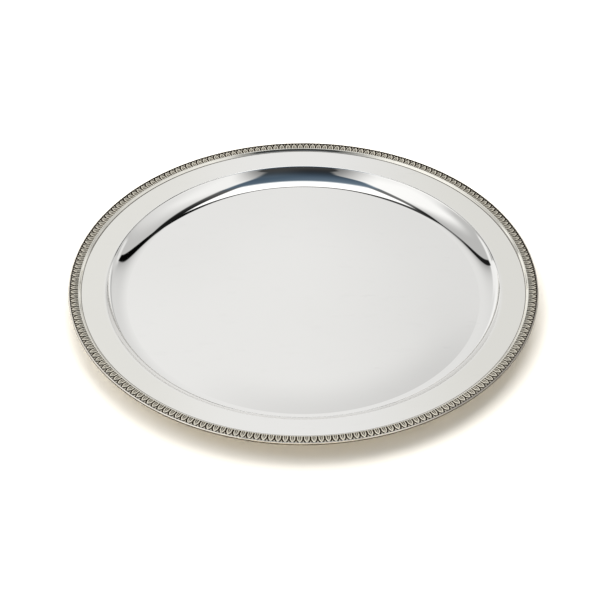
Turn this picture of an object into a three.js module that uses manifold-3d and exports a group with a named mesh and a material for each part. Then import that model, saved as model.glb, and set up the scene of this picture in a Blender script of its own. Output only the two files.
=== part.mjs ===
// A round silver serving salver with an applied leaf border.
//
// One spun sheet makes the floor, the hollow wall round it and the wide flat rim. Three mouldings are
// soldered on round the rim: a plain fillet, a band of pointed leaves struck in twelve lengths, and a
// half-round wire that finishes the outside and overhangs the sheet's raw edge. Nothing moves.
//
// Units are millimetres and +Z is up. The origin is the centre of the underside, where it stands.

import * as THREE from "three";
import { mergeVertices } from "three/addons/utils/BufferGeometryUtils.js";
import Module from "manifold-3d";

const wasm = await Module();
wasm.setup();

// ---- Driving dimensions -------------------------------------------------------------------------

const OUTER_RADIUS = 175; // to the outside of the rim wire
const SHEET = 1.2; // thickness of the sheet
const FLOOR_RADIUS = 131.8; // where the flat floor starts to turn up
const TOE_ARC = 3; // radius of the tight turn at the floor's edge
const TOE_SLOPE = THREE.MathUtils.degToRad(10); // where that turn ends
const WALL_ARC = 23.4; // hollow radius of the wall's upper surface
const WALL_SLOPE = THREE.MathUtils.degToRad(52); // the wall at its steepest
const SHOULDER_ARC = 2.2; // round-over from the wall to the rim
const RIM_SLOPE = THREE.MathUtils.degToRad(4.2); // the rim still climbs a little
const SEAT_RADIUS = 165.3; // where the rim levels out into a seat for the mouldings
const SHEET_EDGE = 173; // the sheet ends here, under the leaf band

const LEAVES = 216;
const LENGTHS = 12; // pieces that the leaf band is struck in
const LEAVES_PER_LENGTH = LEAVES / LENGTHS;
const SOLDER = 0.3; // gap that the solder fills, between a moulding and its neighbour
const BUTT_GAP = 0.3; // the same, between two lengths of the leaf band

const LEAF_BAND = 6; // width of the leaf band, along the radius
const LEAF_TOP = 1.6; // height of the leaves' upper surface above the seat
const LEAF_RISE = 0.6; // how far the leaves stand up from the strip under them
const LEAF_OVERLAP = 0.2; // each leaf starts this far down inside the strip
const LEAF_MARGIN = 0.35; // bare strip left at a leaf's foot and at its tip
const LEAF_SPREAD = 0.72; // width of a leaf, as a part of the room it has
const ARCH_SPRING = 0.45; // how far along the leaf its arch springs
const ARCH_REACH = 0.7; // how far along the arch its sides are pulled
const ARCH_FULLNESS = 0.75; // how far out they are pulled, as a part of the leaf's half width
const FILLET_BAND = 2.3; // width of the plain fillet
const FILLET_TOP = 1.65; // height of the fillet above the seat
const WIRE_THICKNESS = 1; // of the rim wire, along the radius
const WIRE_TOP = 1.85; // height of the rim wire above the seat
const WIRE_DROP = 0.25; // how far the rim wire hangs below the seat

const FACETS = 72; // sides round every turned piece, so that their corners line up
const TOE_STEPS = 2;
const WALL_STEPS = 6;
const SHOULDER_STEPS = 3;
const WIRE_STEPS = 6;
const ARCH_STEPS = 2;
const WELD = 1e-4; // corners closer than this are one corner

const wireInner = OUTER_RADIUS - WIRE_THICKNESS;
const bandOuter = wireInner - SOLDER;
const bandInner = bandOuter - LEAF_BAND;
const filletOuter = bandInner - SOLDER;
const filletInner = filletOuter - FILLET_BAND;

// ---- Materials ----------------------------------------------------------------------------------

const polishedSilver = new THREE.MeshStandardMaterial({ color: 0xe6e4de, roughness: 0.06, metalness: 1 });
const agedSilver = new THREE.MeshStandardMaterial({ color: 0xb8ad99, roughness: 0.3, metalness: 1 });

// ---- Helpers ------------------------------------------------------------------------------------

// A point of a turned profile: distance from the axis, and height.
const at = (radius, height) => new THREE.Vector2(radius, height);

// Points on an arc about a centre, from one angle to another. Angle 0 points away from the axis.
function arc(centre, size, from, to, steps) {
  const points = [];
  for (let i = 0; i <= steps; i++) {
    const angle = from + ((to - from) * i) / steps;
    points.push(at(centre.x + size * Math.cos(angle), centre.y + size * Math.sin(angle)));
  }
  return points;
}

// A profile turned about the Z axis.
function turned(profile) {
  return new THREE.LatheGeometry(profile, FACETS).rotateX(Math.PI / 2);
}

// A closed geometry as a solid that can be joined, with its shared corners merged.
function solid(geometry) {
  const bare = geometry.clone();
  bare.deleteAttribute("normal");
  bare.deleteAttribute("uv");
  const merged = mergeVertices(bare, WELD);
  return new wasm.Manifold(
    new wasm.Mesh({
      numProp: 3,
      vertProperties: merged.attributes.position.array,
      triVerts: new Uint32Array(merged.index.array),
    }),
  );
}

// A joined solid as a geometry again.
function geometryOf(joined) {
  const mesh = joined.getMesh();
  const geometry = new THREE.BufferGeometry();
  geometry.setAttribute("position", new THREE.BufferAttribute(mesh.vertProperties, 3));
  geometry.setIndex(new THREE.BufferAttribute(mesh.triVerts, 1));
  geometry.computeVertexNormals();
  return geometry;
}

function piece(name, geometry, material) {
  const mesh = new THREE.Mesh(geometry, material);
  mesh.name = name;
  return mesh;
}

// ---- The sheet ----------------------------------------------------------------------------------

// A point at a distance from a centre, straight below it and then swung out by an angle.
function swung(centre, size, angle) {
  return at(centre.x + size * Math.sin(angle), centre.y - size * Math.cos(angle));
}

// Centres of the sheet's three arcs. Each arc runs on from the one before it without a corner.
const toe = at(FLOOR_RADIUS, SHEET + TOE_ARC);
const wall = swung(toe, TOE_ARC - WALL_ARC, TOE_SLOPE);
const shoulder = swung(wall, WALL_ARC + SHOULDER_ARC, WALL_SLOPE);
const rimStart = swung(shoulder, -SHOULDER_ARC, RIM_SLOPE);
const seatHeight = rimStart.y + (SEAT_RADIUS - rimStart.x) * Math.tan(RIM_SLOPE);

// One face of the sheet, from the axis out to its edge. Depth is 0 for the upper face and SHEET for the
// underside, whose arcs share their centres with the upper ones, so the sheet is evenly thick.
function sheetFace(depth) {
  const down = -Math.PI / 2;
  const up = Math.PI / 2;
  const lean = Math.tan(RIM_SLOPE / 2) * depth; // how far the underside's corner at the seat moves out
  return [
    at(0, SHEET - depth),
    ...arc(toe, TOE_ARC + depth, down, down + TOE_SLOPE, TOE_STEPS),
    ...arc(wall, WALL_ARC + depth, down + TOE_SLOPE, down + WALL_SLOPE, WALL_STEPS).slice(1),
    ...arc(shoulder, SHOULDER_ARC - depth, up + WALL_SLOPE, up + RIM_SLOPE, SHOULDER_STEPS).slice(1),
    at(SEAT_RADIUS + lean, seatHeight - depth),
    at(SHEET_EDGE, seatHeight - depth),
  ];
}

function trayBody() {
  const underside = sheetFace(SHEET);
  const upper = sheetFace(0).reverse();
  return piece("tray_body", turned([...underside, ...upper]), polishedSilver);
}

// ---- The plain mouldings ------------------------------------------------------------------------

// The fillet inside the leaves: a steep step up from the rim, with a narrow flat top.
function innerFillet() {
  const foot = seatHeight + SOLDER;
  const top = seatHeight + FILLET_TOP;
  const lip = 0.15; // thickness of its inner edge
  const flat = 0.9; // width of its flat top
  const corner = 0.25; // chamfer at the top of the step
  const profile = [
    at(filletInner, foot),
    at(filletOuter, foot),
    at(filletOuter, top),
    at(filletOuter - flat + corner, top),
    at(filletOuter - flat, top - corner / 2),
    at(filletInner, foot + lip),
    at(filletInner, foot),
  ];
  return piece("inner_fillet", turned(profile), polishedSilver);
}

// The half-round wire round the outside, flat against the leaf band's outer edge. It overhangs the sheet.
function rimWire() {
  const half = (WIRE_TOP + WIRE_DROP) / 2;
  const middle = seatHeight + WIRE_TOP - half;
  const bulge = [at(wireInner, middle - half)];
  for (let i = 1; i < WIRE_STEPS; i++) {
    const angle = -Math.PI / 2 + (Math.PI * i) / WIRE_STEPS;
    bulge.push(at(wireInner + WIRE_THICKNESS * Math.cos(angle), middle + half * Math.sin(angle)));
  }
  bulge.push(at(wireInner, middle + half), at(wireInner, middle - half));
  return piece("rim_wire", turned(bulge), polishedSilver);
}

// ---- The leaf band ------------------------------------------------------------------------------

// The flat strip under one length's leaves, seen from above: a slice of a ring with a corner at each facet.
function stripOutline(sweep) {
  const facet = (2 * Math.PI) / FACETS;
  const corners = Math.round(sweep / facet);
  const trim = BUTT_GAP / 2 / bandOuter;
  const angles = [];
  for (let i = 0; i <= corners; i++) {
    angles.push(THREE.MathUtils.clamp(i * facet, trim, sweep - trim));
  }
  const outline = angles.map((a) => at(bandOuter * Math.cos(a), bandOuter * Math.sin(a)));
  for (const a of angles.reverse()) {
    outline.push(at(bandInner * Math.cos(a), bandInner * Math.sin(a)));
  }
  return new THREE.Shape(outline);
}

// One leaf from above: straight sides from its foot, then a pointed arch whose tip points outwards along +X.
function leafOutline() {
  const pitch = (2 * Math.PI * (bandInner + LEAF_BAND / 2)) / LEAVES;
  const half = (LEAF_SPREAD * pitch) / 2;
  const foot = bandInner + LEAF_MARGIN;
  const tip = bandOuter - LEAF_MARGIN;
  const spring = foot + ARCH_SPRING * (tip - foot);
  const reach = spring + ARCH_REACH * (tip - spring);
  const leaf = new THREE.Shape();
  leaf.moveTo(foot, -half);
  leaf.lineTo(spring, -half);
  leaf.quadraticCurveTo(reach, -ARCH_FULLNESS * half, tip, 0);
  leaf.quadraticCurveTo(reach, ARCH_FULLNESS * half, spring, half);
  leaf.lineTo(foot, half);
  leaf.closePath();
  return leaf;
}

// One length of the leaf band: the strip with its leaves standing on it.
function bandLength(number) {
  const sweep = (2 * Math.PI) / LENGTHS;
  const foot = seatHeight + SOLDER;
  const stripTop = seatHeight + LEAF_TOP - LEAF_RISE;
  const strip = new THREE.ExtrudeGeometry(stripOutline(sweep), {
    depth: stripTop - foot,
    bevelEnabled: false,
  }).translate(0, 0, foot);
  const leaf = new THREE.ExtrudeGeometry(leafOutline(), {
    depth: LEAF_RISE + LEAF_OVERLAP,
    bevelEnabled: false,
    curveSegments: ARCH_STEPS,
  }).translate(0, 0, stripTop - LEAF_OVERLAP);
  let joined = solid(strip);
  for (let i = 0; i < LEAVES_PER_LENGTH; i++) {
    const turn = (sweep * (i + 0.5)) / LEAVES_PER_LENGTH;
    joined = joined.add(solid(leaf.clone().rotateZ(turn)));
  }
  const name = `leaf_band_${String(number + 1).padStart(2, "0")}`;
  const mesh = piece(name, geometryOf(joined), agedSilver);
  mesh.rotation.z = sweep * number;
  return mesh;
}

// ---- The salver ---------------------------------------------------------------------------------

const salver = new THREE.Group();
salver.add(trayBody(), innerFillet(), rimWire());
for (let number = 0; number < LENGTHS; number++) {
  salver.add(bandLength(number));
}

export default salver;
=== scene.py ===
"""A round silver salver with a leaf border, on a white table in a small photographic studio.

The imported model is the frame. Each of its pieces is replaced by a finely turned or modelled one of the same
size in the same place. Shape sizes here are in millimetres, and become metres when a mesh is made.
"""

import math

import bpy
import numpy as np
from mathutils import Matrix, Vector


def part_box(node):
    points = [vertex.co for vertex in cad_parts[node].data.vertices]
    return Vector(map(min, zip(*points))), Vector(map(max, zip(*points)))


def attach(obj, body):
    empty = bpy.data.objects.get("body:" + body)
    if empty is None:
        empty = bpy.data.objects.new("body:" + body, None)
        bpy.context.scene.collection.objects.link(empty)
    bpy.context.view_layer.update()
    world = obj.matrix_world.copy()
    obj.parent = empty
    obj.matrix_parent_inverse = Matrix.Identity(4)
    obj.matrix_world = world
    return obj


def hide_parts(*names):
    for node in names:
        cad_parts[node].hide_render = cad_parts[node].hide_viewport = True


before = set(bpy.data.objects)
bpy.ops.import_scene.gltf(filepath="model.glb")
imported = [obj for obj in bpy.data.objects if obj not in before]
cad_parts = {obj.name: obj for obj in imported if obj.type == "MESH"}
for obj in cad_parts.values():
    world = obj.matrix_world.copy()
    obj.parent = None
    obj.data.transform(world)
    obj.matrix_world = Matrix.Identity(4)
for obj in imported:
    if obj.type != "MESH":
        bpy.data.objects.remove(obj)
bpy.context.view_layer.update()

MM = 0.001

# ---- Sizes, from the frame where it has them -----------------------------------------------------

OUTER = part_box("rim_wire")[1].x / MM  # radius to the outside of the rim wire
WIRE_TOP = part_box("rim_wire")[1].z / MM
WIRE_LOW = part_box("rim_wire")[0].z / MM
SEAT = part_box("tray_body")[1].z / MM  # upper surface of the sheet, where the mouldings sit
SHEET_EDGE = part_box("tray_body")[1].x / MM
FILLET_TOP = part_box("inner_fillet")[1].z / MM
LEAF_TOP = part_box("leaf_band_01")[1].z / MM
LENGTHS = sum(name.startswith("leaf_band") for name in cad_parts)

SHEET = 1.2
FLOOR_RADIUS = 131.8
TOE_ARC = 3.0
TOE_SLOPE = math.radians(10)
WALL_ARC = 23.4
WALL_SLOPE = math.radians(52)
SHOULDER_ARC = 2.2
RIM_SLOPE = math.radians(4.2)
SEAT_RADIUS = 165.3

LEAVES = 216
LEAF_BAND = 6.3
WIRE_THICKNESS = 1.0
FILLET_BAND = 2.4
SOLDER = 0.03  # film between two pieces

SIDES = 576  # round every turned piece
ON_AXIS = 1e-6  # a point nearer to the axis than this is on it

BAND_OUTER = OUTER - WIRE_THICKNESS - SOLDER
BAND_INNER = BAND_OUTER - LEAF_BAND
FILLET_OUTER = BAND_INNER - SOLDER
FILLET_INNER = FILLET_OUTER - FILLET_BAND


# ---- Shader arithmetic ---------------------------------------------------------------------------


class Field:
    """A number that varies from place to place: a node's socket that ordinary arithmetic works on."""

    def __init__(self, tree, socket):
        self.tree = tree
        self.socket = socket

    def math(self, operation, *others):
        node = self.tree.nodes.new("ShaderNodeMath")
        node.operation = operation
        for i, value in enumerate((self, *others)):
            if isinstance(value, Field):
                self.tree.links.new(value.socket, node.inputs[i])
            else:
                node.inputs[i].default_value = value
        return Field(self.tree, node.outputs[0])

    def __add__(self, other):
        return self.math("ADD", other)

    def __sub__(self, other):
        return self.math("SUBTRACT", other)

    def __mul__(self, other):
        return self.math("MULTIPLY", other)

    def __truediv__(self, other):
        return self.math("DIVIDE", other)

    __radd__ = __add__
    __rmul__ = __mul__

    def __rsub__(self, other):
        return (self * -1.0).math("ADD", other)

    def __abs__(self):
        return self.math("ABSOLUTE")

    def __pow__(self, power):
        return self.math("POWER", power)

    def ramp(self, start, end):
        """0 before start and 1 after end, with a soft step between. Start may be the larger."""
        if start > end:
            return 1.0 - self.ramp(end, start)
        node = self.tree.nodes.new("ShaderNodeMapRange")
        node.interpolation_type = "SMOOTHSTEP"
        self.tree.links.new(self.socket, node.inputs["Value"])
        node.inputs["From Min"].default_value = start
        node.inputs["From Max"].default_value = end
        return Field(self.tree, node.outputs["Result"])

    def between(self, start, end, soft):
        """1 from start to end, falling off over a soft distance at each side."""
        half = soft / 2
        return self.ramp(start - half, start + half) * self.ramp(end + half, end - half)

    def to(self, other, amount):
        """This field where amount is 0, and other where it is 1."""
        return self + (other - self) * amount


def coordinates(tree, kind):
    """The three coordinates of a point, or of a direction in a world, as fields."""
    source = tree.nodes.new("ShaderNodeTexCoord").outputs[kind]
    split = tree.nodes.new("ShaderNodeSeparateXYZ")
    tree.links.new(source, split.inputs[0])
    return [Field(tree, split.outputs[i]) for i in range(3)]


def noise(tree, scale, detail, stretch=(1, 1, 1)):
    """Smooth noise about 0.5. Scale is in cycles per metre."""
    source = tree.nodes.new("ShaderNodeTexCoord").outputs["Object"]
    mapping = tree.nodes.new("ShaderNodeMapping")
    mapping.inputs["Scale"].default_value = stretch
    texture = tree.nodes.new("ShaderNodeTexNoise")
    texture.inputs["Scale"].default_value = scale
    texture.inputs["Detail"].default_value = detail
    tree.links.new(source, mapping.inputs[0])
    tree.links.new(mapping.outputs[0], texture.inputs["Vector"])
    return Field(tree, texture.outputs["Fac"])


def colour(red, green, blue):
    """Three fields as one colour socket."""
    node = red.tree.nodes.new("ShaderNodeCombineXYZ")
    for i, channel in enumerate((red, green, blue)):
        red.tree.links.new(channel.socket, node.inputs[i])
    return node.outputs[0]


# ---- The studio ----------------------------------------------------------------------------------

GAMMA = 2.2
SILVER = (0.94, 0.925, 0.90)  # reflectance of clean silver
BOX_TONE = 1.1  # the white box overhead, a little brighter than white paper
BOX_LEFT, BOX_RIGHT = -15.0, 14.2
SEAM = 115  # x + y along the seam in the paper
SLOT_FADE = 0.21  # per degree, how fast the paper recovers above the slots
ROOM_TONE = (2.10, 1.99, 1.74)  # the warm room behind the camera, which lights the shadow


def back_sweep(x, y, gap):
    """The pale paper behind, darker to the right and close above the slots, which are at a gap of 0.

    A thin seam crosses its right end, and it is brighter again beyond the seam and at the far left.
    """
    tone = 0.900 - x.ramp(2, 36) * 0.068 - x.ramp(36, 80) * 0.05
    tone = tone + (x * -1).ramp(-6, 14) * 0.012 - (x * -1).ramp(14, 60) * 0.040
    near = (gap.math("MAXIMUM", 0.0) * -SLOT_FADE).math("EXPONENT") * abs(x).ramp(8, 38)
    tone = tone - near * abs(x).ramp(62, 50) * (0.42 - x.ramp(10, 30) * 0.08)
    seam = abs(x + y - SEAM).ramp(2.8, 1.0) * x.between(28, 60, 6)
    beyond = (x + y).ramp(SEAM + 3, SEAM + 7) * 0.13
    return tone - seam * 0.13 + beyond + (y - x).ramp(106, 116) * 0.11


def left_panel(x, y):
    """Very bright in the middle, dimmer towards its far end, its top and the camera."""
    far = (x * -1).ramp(46, 66)
    tone = 0.745 + y.ramp(29, 9) * (0.27 - far * 0.24) + y.ramp(8, -12) * far * 0.17
    tone = tone - (x * -1).ramp(24, 34) * y.ramp(-18, -38) * 0.045
    return tone - (x - y * 0.5 + 21).ramp(0, 34) * y.ramp(-8, -20) * 0.63


def right_panel(x, y):
    """A plainer grey white, brightest beside the dark ceiling."""
    tone = 0.745 + y.ramp(30, 12) * 0.085 + y.ramp(18, -4) * (0.115 - x.ramp(34, 66) * 0.08)
    return tone - (y * -0.5 - x + 15).ramp(-4, 20) * y.ramp(-8, -20) * 0.50


def dark_slots(tone, x, gap, left):
    """The black slots between the side panels and the sweep."""
    thickness = 3.15 - x.ramp(38, 56) * 1.0 - left * 1.15
    slot = (abs(gap) / thickness).ramp(1.35, 0.75)
    left_slot = slot * left * x.between(-58, -18, 3) * (1 - x.ramp(-32, -23) * 0.5)
    tone = tone.to(0.13, left_slot)
    return tone.to(0.05, slot * (1 - left) * x.between(19, 57, 3))


def overhead_box(tone, x, y):
    """The white box overhead, with a dark slot on three sides. The far slot bows away from the camera."""
    far_slot = 33.9 - abs(x - 4) * 0.2 - x.ramp(-3, -10) * 0.8
    slot = abs(y - far_slot).ramp(3.4, 2.2)
    tone = tone.to(0.26, slot * x.between(-19, 7, 4))
    tone = tone.to(0.10, slot * x.between(7, 24, 4))
    left_bar = x.between(-20, BOX_LEFT, 2) * y.between(0, 31, 3)
    tone = tone.to(0.43 - y.ramp(20, 27) * 0.27, left_bar)
    right_side = 21.6 + y.ramp(0, 28) * 3
    right_bar = (x - BOX_RIGHT - 0.6).ramp(-1, 1) * (x - right_side).ramp(2, -2) * y.between(0, 35, 3)
    tone = tone.to(0.35 - y.ramp(8, 28) * 0.23, right_bar)
    box = x.between(BOX_LEFT, BOX_RIGHT, 2) * y.ramp(0, 4) * (far_slot - y).ramp(2, 4)
    return tone.to(BOX_TONE, box)


def dark_ceiling(x, y):
    """How much of the dark ceiling there is: it has crisp sides, and narrows towards the camera."""
    waist = y.ramp(0, -22) * y.ramp(-44, -37)
    left_side = -19.6 + y.ramp(-10, -27) * 7.2 - y.ramp(-36, -42) * 4.4
    right_side = 20.6 - waist * 3.6 + y.ramp(-36, -44) * 2
    span = (x - left_side).ramp(-1.6, 1.6) * (right_side - x).ramp(-1.8, 1.8)
    return span * y.ramp(9.5, -0.5) * y.ramp(-66, -58)


def ceiling_tone(x, y):
    """The dark ceiling's grey, and how blue it is. Both fall off towards the camera."""
    shade = 0.455 - y.ramp(2, -36) * 0.25 + y.ramp(-38, -52) * 0.06
    shade = shade - x.ramp(-14, 14) * y.ramp(-26, 4) * 0.07
    return shade + x.ramp(-4, 12) * y.between(-44, -16, 12) * 0.055, y.ramp(-48, -10) * 0.06


def studio():
    """The room that the silver mirrors, painted by direction.

    Directions are laid out flat, in degrees from straight overhead: x to the right and y away from
    the camera. Tones are as they show on the silver, and 1 is white. There is a white box overhead,
    a panel on each side, a pale sweep behind, dark slots between them, a dark ceiling from the box to
    the camera, and a warm room behind that.
    """
    world = bpy.data.worlds.new("studio")
    world.use_nodes = True
    bpy.context.scene.world = world
    tree = world.node_tree
    dx, dy, dz = coordinates(tree, "Generated")
    across = (dx * dx + dy * dy + 1e-9) ** 0.5
    zenith = dz.math("ARCCOSINE") * math.degrees(1)
    x = dx / across * zenith
    y = dy / across * zenith
    left = x.ramp(1, -1)
    left_gap = y - 31.3 + (x + 20) * 0.39
    right_gap = y - 32.3 - (x - 20) * 0.26
    gap = right_gap.to(left_gap, left)
    panels = right_panel(x, y).to(left_panel(x, y), left)
    tone = back_sweep(x, y, gap).to(panels, gap.ramp(1, -1) * abs(x).ramp(8, 11))
    tone = tone.to(0.97, zenith.between(74, 81, 4) * y.between(26, 62, 8) * left)
    tone = tone.to(0.88, zenith.between(72, 78, 3) * y.between(30, 46, 6) * (1 - left))
    tone = dark_slots(tone, x, gap, left)
    tone = overhead_box(tone, x, y)
    shade, blue = ceiling_tone(x, y)
    ceiling = dark_ceiling(x, y)
    room = y.ramp(-62, -74)
    warmth = zip((1.003, 1.0, 0.990), (-1.0, 0.0, 1.0), ROOM_TONE)
    radiance = [
        ((tone.to(shade + blue * tint, ceiling) * warm).to(low, room) ** GAMMA) / silver
        for (warm, tint, low), silver in zip(warmth, SILVER)
    ]
    tree.links.new(colour(*radiance), tree.nodes["Background"].inputs["Color"])
    tree.nodes["Background"].inputs["Strength"].default_value = 1.0


TABLE_SIZE = 30  # metres
TABLE_TONE = (0.95, 0.91, 0.84)
LAMP_DISTANCE = 1.6  # metres from the middle of the table


def lamp(name, direction, size, power):
    """A soft lamp aimed at the middle of the table. The silver mirrors the painted studio instead."""
    data = bpy.data.lights.new(name, "AREA")
    data.shape = "RECTANGLE"
    data.size, data.size_y = size
    data.energy = power
    place = Vector(direction).normalized()
    item = bpy.data.objects.new(name, data)
    item.location = place * LAMP_DISTANCE
    item.rotation_euler = place.to_track_quat("Z", "Y").to_euler()
    item.visible_glossy = False
    bpy.context.scene.collection.objects.link(item)


def table():
    """The white table top that the salver stands on."""
    half = TABLE_SIZE / 2
    corners = [(-half, -half, 0), (half, -half, 0), (half, half, 0), (-half, half, 0)]
    mesh = bpy.data.meshes.new("table_top")
    mesh.from_pydata(corners, [], [(0, 1, 2, 3)])
    top = bpy.data.objects.new("table_top", mesh)
    bpy.context.scene.collection.objects.link(top)
    material = bpy.data.materials.new("white_table")
    material.use_nodes = True
    shader = material.node_tree.nodes["Principled BSDF"]
    shader.inputs["Base Color"].default_value = (*TABLE_TONE, 1)
    shader.inputs["Roughness"].default_value = 0.9
    shader.inputs["Specular IOR Level"].default_value = 0.1
    mesh.materials.append(material)


# ---- Camera --------------------------------------------------------------------------------------

LENS = 130.1  # millimetres, on a sensor 36 wide
CAMERA_DISTANCE = 1.619
CAMERA_HEIGHT_ANGLE = math.radians(39.63)
CAMERA_TURN = math.radians(0.088)
CAMERA_TIP = math.radians(-0.504)


def camera():
    """Looks at the salver's centre, at the height of the leaves, then turns and tips a little."""
    data = bpy.data.cameras.new("camera")
    data.lens = LENS
    data.sensor_width = 36
    data.clip_end = 100
    eye = bpy.data.objects.new("camera", data)
    bpy.context.scene.collection.objects.link(eye)
    centre = Vector((0, 0, LEAF_TOP * MM))
    away = Vector((0, -math.cos(CAMERA_HEIGHT_ANGLE), math.sin(CAMERA_HEIGHT_ANGLE)))
    ahead = -away
    right = Vector((1, 0, 0))
    up = right.cross(ahead)
    turn = Matrix.Rotation(CAMERA_TURN, 3, up)
    ahead, right = turn @ ahead, turn @ right
    tip = Matrix.Rotation(CAMERA_TIP, 3, right)
    ahead, up = tip @ ahead, tip @ up
    eye.matrix_world = Matrix.Translation(centre + away * CAMERA_DISTANCE) @ Matrix(
        (right, up, -ahead)
    ).transposed().to_4x4()
    bpy.context.scene.camera = eye
    bpy.context.scene.view_settings.view_transform = "Standard"


# ---- Materials -----------------------------------------------------------------------------------

DARKENING_X, DARKENING_Y = 0.375, -0.927  # direction of the middle of the darkening round the floor's near edge, near the camera


def metal(name):
    """A metal with nothing else set: the material, its node tree and its shader."""
    material = bpy.data.materials.new(name)
    material.use_nodes = True
    shader = material.node_tree.nodes["Principled BSDF"]
    shader.inputs["Metallic"].default_value = 1.0
    return material, material.node_tree, shader


def bump(tree, shader, height, distance):
    """Relief from a field, its full height being distance metres."""
    node = tree.nodes.new("ShaderNodeBump")
    node.inputs["Strength"].default_value = 1.0
    node.inputs["Distance"].default_value = distance
    tree.links.new(height.socket, node.inputs["Height"])
    tree.links.new(node.outputs["Normal"], shader.inputs["Normal"])


def toning(x, y):
    """How bright the silver's colour is, from 1 down, and how much its rim has yellowed.

    There is a veil on the right and a duller rim on the left, right and far sides. The floor is also
    darker round its near edge, and more faintly round its far edge.
    """
    radius = (x * x + y * y) ** 0.5
    rim = radius.ramp(0.146, 0.150)
    rim_veil = x.ramp(-0.05, -0.12) * 0.060 + x.ramp(0.06, 0.15) * 0.030 + y.ramp(0.09, 0.15) * 0.012
    towards = (x * DARKENING_X + y * DARKENING_Y) / (radius + 0.001)
    floor = radius.ramp(0.1322, 0.1316)
    # Darker round the floor's near edge, and more faintly round its far edge.
    edge_darkening = radius.ramp(0.092, 0.134) * towards.ramp(0.42, 1.0) * 0.15
    far = radius.ramp(0.04, 0.12) * towards.ramp(0.0, -0.9) * 0.035
    clean = 1.0 - x.ramp(-0.01, 0.13) * 0.090 - rim * rim_veil - floor * (edge_darkening + far)
    return clean, rim * abs(x).ramp(0.02, 0.12)


def polished_silver():
    """Mirror silver: tarnish just begun, cloudy wipe marks, and fine hairlines that run every way."""
    material, tree, shader = metal("polished_silver")
    x, y = coordinates(tree, "Object")[:2]
    clouds = noise(tree, 14, 3)
    wipes = noise(tree, 45, 4, stretch=(1, 2.2, 1))
    scuffs = noise(tree, 30, 5, stretch=(1, 3.5, 1)).ramp(0.66, 0.72) * x.ramp(0.0, 0.08)
    clean, yellowed = toning(x, y)
    clean = clean - clouds.ramp(0.5, 0.8) * 0.012 - wipes.ramp(0.56, 0.75) * 0.012 - scuffs * 0.03
    base = [clean * s - yellowed * t for s, t in zip(SILVER, (0.0, 0.004, 0.03))]
    tree.links.new(colour(*base), shader.inputs["Base Color"])
    hair = noise(tree, 900, 2, stretch=(1, 0.03, 1)).ramp(0.64, 0.72)
    cross = noise(tree, 800, 2, stretch=(0.03, 1, 1)).ramp(0.65, 0.73)
    rough = 0.012 + clouds * 0.012 + (hair + cross) * 0.02 + scuffs * 0.05
    tree.links.new(rough.socket, shader.inputs["Roughness"])
    bump(tree, shader, noise(tree, 18, 1), 0.00002)
    return material


def attribute(tree, name):
    """A number that a mesh holds for each of its points."""
    node = tree.nodes.new("ShaderNodeAttribute")
    node.attribute_name = name
    return Field(tree, node.outputs["Fac"])


def two_tone(tree, shader, amount, dark, light):
    """Base colour from a dark at an amount of 0 to bare metal at 1: oxide on fillet and leaves, mostly
    painted shade on the wire.
    """
    base = [(amount * 0.0 + d).to(l, amount) for d, l in zip(dark, light)]
    tree.links.new(colour(*base), shader.inputs["Base Color"])


def fillet_silver():
    """The plain moulding: polished, a little warm, with tarnish left in the crevice at its foot."""
    material, tree, shader = metal("fillet_silver")
    spots = noise(tree, 60, 3)
    amount = attribute(tree, "bright") * (1.0 - spots.ramp(0.45, 0.75) * 0.10)
    two_tone(tree, shader, amount, (0.12, 0.10, 0.08), (0.93, 0.90, 0.82))
    tree.links.new((0.03 + spots * 0.05).socket, shader.inputs["Roughness"])
    bump(tree, shader, noise(tree, 700, 3), 0.000006)
    return material


def wire_silver():
    """The rim wire: bright crest, dark beside the leaves, painted shade on its flank, painted dark reflection
    on the right.
    """
    material, tree, shader = metal("wire_silver")
    bright = attribute(tree, "bright")
    spots = noise(tree, 90, 3)
    x = coordinates(tree, "Object")[0]
    # Painted dark reflection: the wire is darker on the right, where it would mirror a dark part of the room.
    painted_reflection_right = x.ramp(0.05, 0.12) * 0.55
    amount = bright * (1.0 - spots.ramp(0.45, 0.8) * 0.18) * (1.0 - painted_reflection_right)
    two_tone(tree, shader, amount, (0.085, 0.07, 0.052), (0.97, 0.92, 0.84))
    tree.links.new((0.48 - amount * 0.10).socket, shader.inputs["Roughness"])
    bump(tree, shader, noise(tree, 900, 3), 0.00002)
    return material


def leaf_silver():
    """Struck leaves: warm bright metal on the high lines, and brown-black oxide between them."""
    material, tree, shader = metal("leaf_silver")
    bright = attribute(tree, "bright")
    spots = noise(tree, 260, 3)
    patches = noise(tree, 25, 2)
    x, y = coordinates(tree, "Object")[:2]
    dull = abs(x).ramp(0.08, 0.12) * y.ramp(-0.12, -0.02) * 0.16
    amount = (bright * (1.16 - dull - spots * 0.16 + (patches - 0.5) * 0.2)).math("MINIMUM", 1.0)
    two_tone(tree, shader, amount, (0.034, 0.021, 0.010), (1.0, 0.935, 0.79))
    tree.links.new((0.56 - amount * 0.34).socket, shader.inputs["Roughness"])
    bump(tree, shader, noise(tree, 1500, 3), 0.00002)
    return material


# ---- Turned pieces -------------------------------------------------------------------------------

# A profile is a list of runs. A run is a list of (radius, height, tilt) along one smooth stretch. Tilt is
# the direction of the surface's normal: 0 points away from the axis and a quarter turn points up. Each run
# starts where the one before it ends, and a corner is sharp where the two tilts differ.


def line(start, end, steps=1, from_tilt=None, to_tilt=None):
    """A straight run. Its normal is to the left of its direction, unless tilts are given."""
    out, rise = end[0] - start[0], end[1] - start[1]
    tilt = math.atan2(rise, out) + math.pi / 2
    first = tilt if from_tilt is None else from_tilt
    last = tilt if to_tilt is None else to_tilt
    run = []
    for i in range(steps + 1):
        t = i / steps
        run.append((start[0] + out * t, start[1] + rise * t, first + (last - first) * t))
    return run


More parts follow.
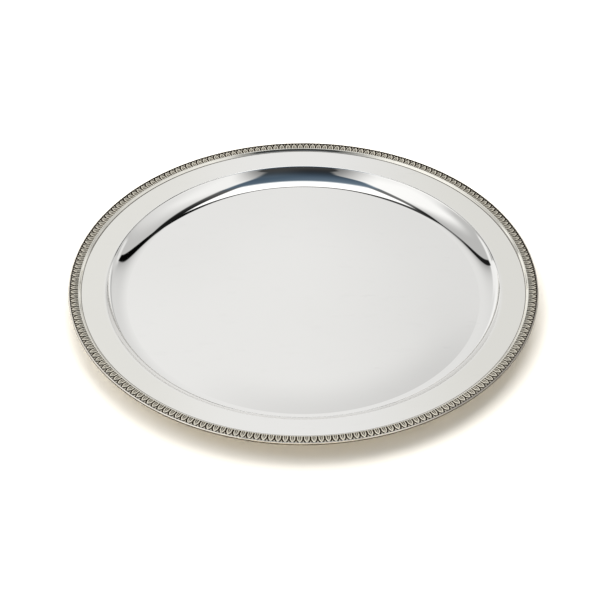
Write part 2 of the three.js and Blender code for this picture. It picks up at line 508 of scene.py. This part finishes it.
def arc(centre, size, start, end, steps, inside=False):
    """A run round an arc. Its normal points away from the centre, or at it on the inside of a hollow."""
    run = []
    for i in range(steps + 1):
        angle = start + (end - start) * i / steps
        tilt = angle + math.pi if inside else angle
        run.append((centre[0] + size * math.cos(angle), centre[1] + size * math.sin(angle), tilt))
    return run


def turned(name, runs, extra=None):
    """A mesh turned from a profile round the Z axis, with exact normals.

    Extra, if there is one, gives each point's bright from its radius and height.
    """
    closed = runs[0][0][0] > ON_AXIS
    points, segments = [], []
    for run in runs:
        if not points:
            points.append(run[0][:2])
        for a, b in zip(run, run[1:]):
            segments.append((len(points) - 1, len(points), a[2], b[2]))
            points.append(b[:2])
    if closed:
        points.pop()
        segments[-1] = (segments[-1][0], 0, *segments[-1][2:])
    angles = np.arange(SIDES) * (2 * math.pi / SIDES)
    cosines, sines = np.cos(angles), np.sin(angles)
    vertices, first, ring = [], [], []
    for radius, height in points:
        first.append(len(vertices))
        if radius < ON_AXIS:
            vertices.append((0, 0, height * MM))
            ring.append(False)
        else:
            vertices.extend(zip(radius * MM * cosines, radius * MM * sines, [height * MM] * SIDES))
            ring.append(True)
    faces, normals = [], []
    for i, j, tilt_i, tilt_j in segments:
        for k in range(SIDES):
            n = (k + 1) % SIDES
            corners = [(i, k, tilt_i), (j, k, tilt_j), (j, n, tilt_j), (i, n, tilt_i)]
            if not ring[i]:
                corners.pop()
            if not ring[j]:
                corners.pop(2)
            faces.append([first[p] + (m if ring[p] else 0) for p, m, _ in corners])
            for _, m, tilt in corners:
                out = math.cos(tilt)
                normals.append((out * cosines[m], out * sines[m], math.sin(tilt)))
    mesh = bpy.data.meshes.new(name)
    mesh.from_pydata(vertices, [], faces)
    mesh.polygons.foreach_set("use_smooth", [True] * len(mesh.polygons))
    mesh.normals_split_custom_set(normals)
    if extra:
        values = [extra(math.hypot(v[0], v[1]) / MM, v[2] / MM) for v in vertices]
        mesh.attributes.new("bright", "FLOAT", "POINT").data.foreach_set("value", values)
    mesh.update()
    return mesh


def finish_piece(name, mesh, material, node):
    """A piece in the scene, in place of a node of the frame."""
    piece = bpy.data.objects.new(name, mesh)
    mesh.materials.append(material)
    bpy.context.scene.collection.objects.link(piece)
    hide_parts(node)
    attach(piece, "root")
    return piece


UP = math.pi / 2
DOWN = -math.pi / 2


def swung(centre, size, angle):
    """A point at a distance from a centre, straight below it and then swung out by an angle."""
    return (centre[0] + size * math.sin(angle), centre[1] - size * math.cos(angle))


def tray_face(depth, facing):
    """One face of the sheet from the axis out: depth below the upper face, facing up (1) or down (-1)."""
    toe = (FLOOR_RADIUS, SHEET + TOE_ARC)
    wall = swung(toe, TOE_ARC - WALL_ARC, TOE_SLOPE)
    shoulder = swung(wall, WALL_ARC + SHOULDER_ARC, WALL_SLOPE)
    hollow = facing > 0
    face = arc(toe, TOE_ARC + depth, DOWN, DOWN + TOE_SLOPE, 10, inside=hollow)
    face += arc(wall, WALL_ARC + depth, DOWN + TOE_SLOPE, DOWN + WALL_SLOPE, 60, inside=hollow)[1:]
    face += arc(shoulder, SHOULDER_ARC - depth, UP + WALL_SLOPE, UP + RIM_SLOPE, 24, inside=not hollow)[1:]
    rim_tilt = face[-1][2]
    lean = math.tan(RIM_SLOPE / 2) * depth
    face += line(face[-1][:2], (SEAT_RADIUS + lean, SEAT - depth), 4, rim_tilt, rim_tilt)[1:]
    return face


def tray_body():
    """The sheet: its upper face, its raw edge and its underside."""
    upper = tray_face(0, 1)
    under = tray_face(SHEET, -1)
    runs = [
        line((0, SHEET), upper[0][:2], 3),
        upper,
        line(upper[-1][:2], (SHEET_EDGE, SEAT), 1, UP, UP),
        line((SHEET_EDGE, SEAT), (SHEET_EDGE, SEAT - SHEET), 1, 0, 0),
        line((SHEET_EDGE, SEAT - SHEET), under[-1][:2], 1, DOWN, DOWN),
        under[::-1],
        line(under[0][:2], (0, 0), 3, DOWN, DOWN),
    ]
    return turned("tray_body_fine", runs)


def inner_fillet():
    """A cove that rises from the rim and rolls over into a narrow flat beside the leaves."""
    foot = SEAT + SOLDER
    lip = 0.05
    cove, nose = 1.3, 0.7
    slope = math.radians(52)
    rise = FILLET_TOP - foot - lip
    curved = (cove + nose) * (1 - math.cos(slope))
    straight = (rise - curved) / math.sin(slope)
    start = (FILLET_INNER, foot + lip)
    hollow = arc((start[0], start[1] + cove), cove, DOWN, DOWN + slope, 14, inside=True)
    x, z, tilt = hollow[-1]
    x2, z2 = x + straight * math.cos(slope), z + straight * math.sin(slope)
    centre = (x2 + nose * math.sin(slope), z2 - nose * math.cos(slope))
    roll = arc(centre, nose, UP + slope, UP, 14)
    runs = [
        hollow,
        line((x, z), (x2, z2), 1, tilt, tilt),
        roll,
        line(roll[-1][:2], (FILLET_OUTER, FILLET_TOP), 1, UP, UP),
        line((FILLET_OUTER, FILLET_TOP), (FILLET_OUTER, foot), 1, 0, 0),
        line((FILLET_OUTER, foot), (FILLET_INNER, foot), 1, DOWN, DOWN),
        line((FILLET_INNER, foot), start, 1, math.pi, math.pi),
    ]

    def bright(radius, height):
        return float(soft((height - foot - lip) / 0.16))

    return turned("inner_fillet_fine", runs, bright)


def rim_wire():
    """Half round, flat inside. Bright is 1 on the crest and 0 beside the leaves, and down the flank as
    painted shade.
    """
    inner = OUTER - WIRE_THICKNESS
    half = (WIRE_TOP - WIRE_LOW) / 2
    middle = (WIRE_TOP + WIRE_LOW) / 2
    steps = 24
    bulge = []
    for i in range(steps + 1):
        angle = UP - math.pi * i / steps
        tilt = math.atan2(math.sin(angle) / half, math.cos(angle) / WIRE_THICKNESS)
        bulge.append((inner + WIRE_THICKNESS * math.cos(angle), middle + half * math.sin(angle), tilt))
    runs = [bulge, line((inner, WIRE_LOW), (inner, WIRE_TOP), 1, math.pi, math.pi)]

    # Painted shade: the flank and the lower half are dark, standing for the shadow under the rim that they
    # would mirror.
    def bright(radius, height):
        out = (radius - inner) / WIRE_THICKNESS
        return float(soft((out - 0.02) / 0.10) * soft((0.92 - out) / 0.12) * (height > middle))

    return turned("rim_wire_fine", runs, bright)


# ---- Leaves --------------------------------------------------------------------------------------

PITCH = 2 * math.pi * (BAND_INNER + LEAF_BAND / 2) / LEAVES
COLUMNS = 26  # of points across one leaf
ROWS = 30  # of points along it
GROUND = 0.5  # depth of the ground below the leaves' crests


def soft(t):
    """0 up to 0, 1 from 1 on, and a smooth step between."""
    t = np.clip(t, 0, 1)
    return t * t * (3 - 2 * t)


def leaf_relief(u, v):
    """Height below the crests, and bright, at u across a leaf and v along it from its foot."""
    spring, tip = 2.3, 5.75  # where the arch springs, and its point
    t = np.clip((v - spring) / (tip - spring), 0, 1.4)
    half = 1.82 * (1 - t**1.8)
    slope = np.where(v > spring, 0.80, 1.0)
    edge = (half - np.abs(u)) * slope
    outline = soft((0.42 - np.abs(edge - 0.32)) / 0.13)
    within = soft(edge / 0.3)
    rib = soft((0.30 - np.abs(u)) / 0.16) * soft((4.5 - v) / 0.8)
    grooves = soft((0.17 - np.abs(np.abs(u) - 0.62)) / 0.14) * soft((3.6 - v) / 0.8)
    # A small dart stands between each two leaves, against the outer edge.
    gap = PITCH / 2 - np.abs(u)
    dart_half = 0.75 * np.clip((v - 3.6) / 1.9, 0, 1)
    dart = soft((dart_half - gap) / 0.25 + 0.3) * soft((v - 3.6) / 0.5) * soft((6.0 - v) / 0.2)
    height = np.maximum.reduce([outline, within * (0.55 + 0.25 * rib - 0.35 * grooves), 0.7 * dart])
    bright = np.maximum.reduce([outline, within * (0.16 + 0.60 * rib - 0.12 * grooves), 0.60 * dart])
    return (height - 1) * GROUND, np.clip(bright, 0, 1)


def band_mesh():
    """One length of the leaf band, a closed strip with its relief on top. It starts at +X."""
    per_length = LEAVES // LENGTHS
    sweep = 2 * math.pi / LENGTHS
    trim = SOLDER / BAND_OUTER
    columns = per_length * COLUMNS + 1
    angle = np.linspace(trim / 2, sweep - trim / 2, columns)
    along = np.linspace(0, LEAF_BAND, ROWS + 1)
    a, v = np.meshgrid(angle, along, indexing="ij")
    cell = sweep / per_length
    u = ((a % cell) / cell - 0.5) * PITCH
    depth, bright = leaf_relief(u, v)
    radius = BAND_INNER + v
    top = np.stack([radius * np.cos(a), radius * np.sin(a), LEAF_TOP + depth], -1)
    foot = top.copy()
    foot[..., 2] = SEAT + SOLDER
    rows = ROWS + 1
    count = columns * rows
    vertices = np.concatenate([top.reshape(-1, 3), foot.reshape(-1, 3)]) * MM
    index = np.arange(count).reshape(columns, rows)
    quads = np.stack([index[:-1, :-1], index[:-1, 1:], index[1:, 1:], index[1:, :-1]], -1)
    quads = quads.reshape(-1, 4)
    faces = quads.tolist() + (quads[:, ::-1] + count).tolist()
    border = np.concatenate([index[:, 0], index[-1, 1:], index[-2::-1, -1], index[0, -2::-1]])
    for p, q in zip(border, np.roll(border, -1)):
        if p != q:
            faces.append([int(q), int(p), int(p) + count, int(q) + count][::-1])
    mesh = bpy.data.meshes.new("leaf_band_fine")
    mesh.from_pydata(vertices.tolist(), [], faces)
    values = np.concatenate([bright.reshape(-1), np.zeros(count)])
    mesh.attributes.new("bright", "FLOAT", "POINT").data.foreach_set("value", values)
    mesh.polygons.foreach_set("use_smooth", [True] * len(mesh.polygons))
    mesh.set_sharp_from_angle(angle=math.radians(70))
    mesh.update()
    return mesh


def leaf_bands(material):
    """Every length of the leaf band, each turned on from the one before it."""
    strip = band_mesh()
    for number in range(LENGTHS):
        name = f"leaf_band_{number + 1:02d}"
        mesh = strip.copy()
        mesh.transform(Matrix.Rotation(2 * math.pi * number / LENGTHS, 4, "Z"))
        finish_piece(name + "_fine", mesh, material, name)


# ---- The scene -----------------------------------------------------------------------------------

camera()
studio()
lamp("overhead_box", (0.05, 0.62, 0.78), (1.7, 1.3), 27)
lamp("left_panel", (-0.72, 0.15, 0.68), (1.2, 1.2), 10)
table()
finish_piece("tray_body_fine", tray_body(), polished_silver(), "tray_body")
finish_piece("inner_fillet_fine", inner_fillet(), fillet_silver(), "inner_fillet")
finish_piece("rim_wire_fine", rim_wire(), wire_silver(), "rim_wire")
leaf_bands(leaf_silver())
